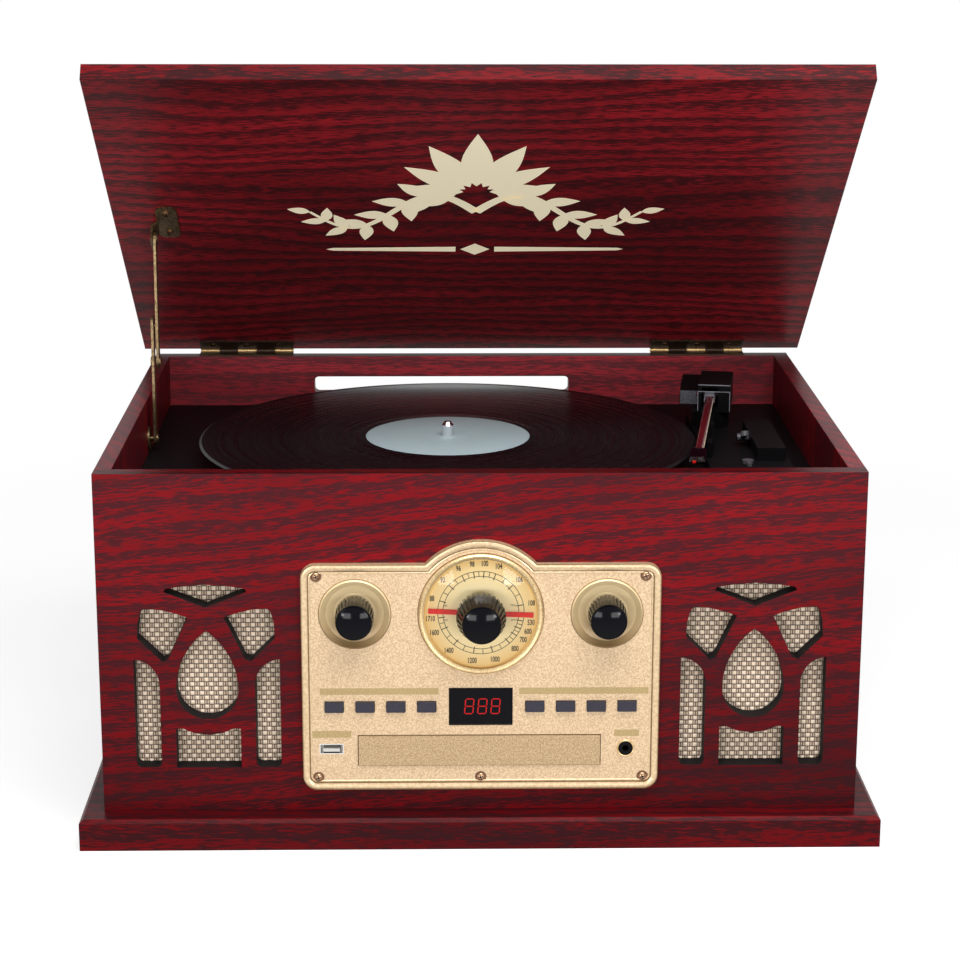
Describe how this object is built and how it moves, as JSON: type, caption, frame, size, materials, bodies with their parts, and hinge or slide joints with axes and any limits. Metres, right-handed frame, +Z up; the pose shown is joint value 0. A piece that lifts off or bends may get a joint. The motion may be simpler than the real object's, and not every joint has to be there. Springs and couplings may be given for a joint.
{
  "type": "stereo music centre",
  "caption": "Wooden table-top music centre with a record player under a hinged lid, a round radio dial, a disc tray and built-in loudspeakers.",
  "frame": {"origin": "middle of the footprint, on the surface that the plinth stands on", "axes": "+Z up, front face towards -Y, +X to the right seen from the front"},
  "size_m": [0.447, 0.3576, 0.426],
  "materials": {
    "cherry_wood": "satin lacquer over open grain",
    "board": "bare fibreboard",
    "deck_plastic": "fine moulded texture",
    "grille_cloth": "basket weave",
    "speaker_steel": "satin black",
    "speaker_paper": "pressed paper",
    "fascia_gold": "speckled champagne lacquer",
    "gold_trim": "polished",
    "screw_brass": "satin",
    "dial_print": "printed",
    "dial_glass": "clear dome",
    "control_metal": "plain",
    "knob_black": "glossy",
    "pointer_red": "glossy",
    "display_black": "glossy",
    "circuit_board": "resist lacquer",
    "socket_metal": "nickel",
    "socket_black": "moulded",
    "button_slate": "satin",
    "drive_metal": "zinc plated",
    "tray_plastic": "moulded",
    "pulley_brass": "turned",
    "belt_rubber": "matte",
    "platter_plastic": "moulded",
    "mat_felt": "felt",
    "spindle_chrome": "polished",
    "record_vinyl": "grooved",
    "arm_plastic": "glossy",
    "lever_grey": "satin",
    "hinge_brass": "satin",
    "aged_brass": "aged"
  },
  "bodies": {
    "root": {"plinth": "cherry_wood", "bottom_board": "board", "front_panel": "cherry_wood", "side_panels": "cherry_wood", "back_panel": "cherry_wood", "deck_plate": "deck_plastic", "grille_cloths": "grille_cloth", "speaker_frames": "speaker_steel", "speaker_cones": "speaker_paper", "fascia_plate": "fascia_gold", "fascia_screws": "screw_brass", "dial_face": "dial_print", "dial_bezel": "gold_trim", "dial_lens": "dial_glass", "knob_dishes": "gold_trim", "rotary_controls": "control_metal", "display_window": "display_black", "control_board": "circuit_board", "usb_socket": "socket_metal", "headphone_jack": "socket_black", "main_board": "circuit_board", "cd_chassis": "drive_metal", "turntable_motor": "drive_metal", "drive_belt": "belt_rubber", "tonearm_base": "deck_plastic", "hinge_body_leaves": "hinge_brass", "stay_wall_bracket": "aged_brass", "rear_sockets": "socket_black"},
    "lid": {"lid_panel": "cherry_wood", "hinge_lid_leaves": "hinge_brass", "stay_lid_bracket": "aged_brass", "lid_screws": "screw_brass"},
    "stay_lower": {"stay_lower_arm": "aged_brass"},
    "stay_upper": {"stay_upper_arm": "aged_brass"},
    "turntable": {"platter": "platter_plastic", "platter_mat": "mat_felt", "spindle": "spindle_chrome", "vinyl_record": "record_vinyl"},
    "pulley": {"motor_pulley": "pulley_brass"},
    "arm_swing": {"tonearm_yoke": "tray_plastic"},
    "arm_lift": {"tonearm_tube": "arm_plastic", "headshell": "arm_plastic", "cartridge": "tray_plastic"},
    "cue": {"cue_lever": "lever_grey"},
    "speed": {"speed_lever": "lever_grey"},
    "tuner": {"tuner_knob": "knob_black", "dial_pointer": "pointer_red"},
    "knob_left": {"left_knob": "knob_black"},
    "knob_right": {"right_knob": "knob_black"},
    "tray": {"cd_tray": "tray_plastic", "cd_tray_front": "fascia_gold"},
    "disc_hub": {"cd_hub": "tray_plastic"},
    "left_button_1": {"left_button_1": "button_slate"},
    "left_button_2": {"left_button_2": "button_slate"},
    "left_button_3": {"left_button_3": "button_slate"},
    "left_button_4": {"left_button_4": "button_slate"},
    "right_button_1": {"right_button_1": "button_slate"},
    "right_button_2": {"right_button_2": "button_slate"},
    "right_button_3": {"right_button_3": "button_slate"},
    "right_button_4": {"right_button_4": "button_slate"}
  },
  "joints": [
    {"name": "lid_hinge", "type": "hinge", "parent": "root", "child": "lid", "pos_m": [0, 0.1705, 0.2145], "axis": [1, 0, 0], "range_deg": [0, 38.4]},
    {"name": "stay_lower_pivot", "type": "hinge", "parent": "root", "child": "stay_lower", "pos_m": [-0.199, 0.0315, 0.188], "axis": [1, 0, 0], "range_deg": [-84, 0.5]},
    {"name": "stay_upper_pivot", "type": "hinge", "parent": "lid", "child": "stay_upper", "pos_m": [-0.196, 0.03691, 0.31158], "axis": [1, 0, 0], "range_deg": [-0.5, 42]},
    {"name": "platter_spin", "type": "hinge", "parent": "root", "child": "turntable", "pos_m": [-0.0172, 0.0115, 0.185], "axis": [0, 0, 1], "continuous": true},
    {"name": "pulley_spin", "type": "hinge", "parent": "root", "child": "pulley", "pos_m": [-0.07589, -0.04719, 0.185], "axis": [0, 0, 1], "continuous": true},
    {"name": "arm_swing", "type": "hinge", "parent": "root", "child": "arm_swing", "pos_m": [0.15, 0.0745, 0.196], "axis": [0, 0, 1], "range_deg": [-43, 0]},
    {"name": "arm_lift", "type": "hinge", "parent": "arm_swing", "child": "arm_lift", "pos_m": [0.15, 0.0745, 0.2055], "axis": [-0.9874, 0.1582, 0], "range_deg": [-0.7, 4]},
    {"name": "cue_lever_turn", "type": "hinge", "parent": "root", "child": "cue", "pos_m": [0.164, 0.0185, 0.191], "axis": [-1, 0, 0], "range_deg": [0, 55]},
    {"name": "speed_lever_turn", "type": "hinge", "parent": "root", "child": "speed", "pos_m": [0.1616, -0.0275, 0.187], "axis": [0, 0, 1], "range_deg": [-25, 25]},
    {"name": "tuning", "type": "hinge", "parent": "root", "child": "tuner", "pos_m": [0, -0.1535, 0.134], "axis": [0, 1, 0], "range_deg": [0, 180]},
    {"name": "left_knob_turn", "type": "hinge", "parent": "root", "child": "knob_left", "pos_m": [-0.0694, -0.1535, 0.134], "axis": [0, 1, 0], "range_deg": [-150, 150]},
    {"name": "right_knob_turn", "type": "hinge", "parent": "root", "child": "knob_right", "pos_m": [0.0694, -0.1535, 0.134], "axis": [0, 1, 0], "range_deg": [-150, 150]},
    {"name": "tray_slide", "type": "slide", "parent": "root", "child": "tray", "axis": [0, -1, 0], "range_m": [0, 0.13]},
    {"name": "disc_hub_spin", "type": "hinge", "parent": "root", "child": "disc_hub", "pos_m": [-0.00075, -0.0805, 0.043], "axis": [0, 0, 1], "continuous": true},
    {"name": "left_button_1_press", "type": "slide", "parent": "root", "child": "left_button_1", "axis": [0, 1, 0], "range_m": [0, 0.001], "stiffness_N_per_m": 200},
    {"name": "left_button_2_press", "type": "slide", "parent": "root", "child": "left_button_2", "axis": [0, 1, 0], "range_m": [0, 0.001], "stiffness_N_per_m": 200},
    {"name": "left_button_3_press", "type": "slide", "parent": "root", "child": "left_button_3", "axis": [0, 1, 0], "range_m": [0, 0.001], "stiffness_N_per_m": 200},
    {"name": "left_button_4_press", "type": "slide", "parent": "root", "child": "left_button_4", "axis": [0, 1, 0], "range_m": [0, 0.001], "stiffness_N_per_m": 200},
    {"name": "right_button_1_press", "type": "slide", "parent": "root", "child": "right_button_1", "axis": [0, 1, 0], "range_m": [0, 0.001], "stiffness_N_per_m": 200},
    {"name": "right_button_2_press", "type": "slide", "parent": "root", "child": "right_button_2", "axis": [0, 1, 0], "range_m": [0, 0.001], "stiffness_N_per_m": 200},
    {"name": "right_button_3_press", "type": "slide", "parent": "root", "child": "right_button_3", "axis": [0, 1, 0], "range_m": [0, 0.001], "stiffness_N_per_m": 200},
    {"name": "right_button_4_press", "type": "slide", "parent": "root", "child": "right_button_4", "axis": [0, 1, 0], "range_m": [0, 0.001], "stiffness_N_per_m": 200}
  ],
  "couplings": [
    {"joint": "stay_lower_pivot", "follows": "lid_hinge", "ratio": -2.18},
    {"joint": "stay_upper_pivot", "follows": "lid_hinge", "ratio": 1.0825},
    {"joint": "pulley_spin", "follows": "platter_spin", "ratio": 15.667}
  ]
}
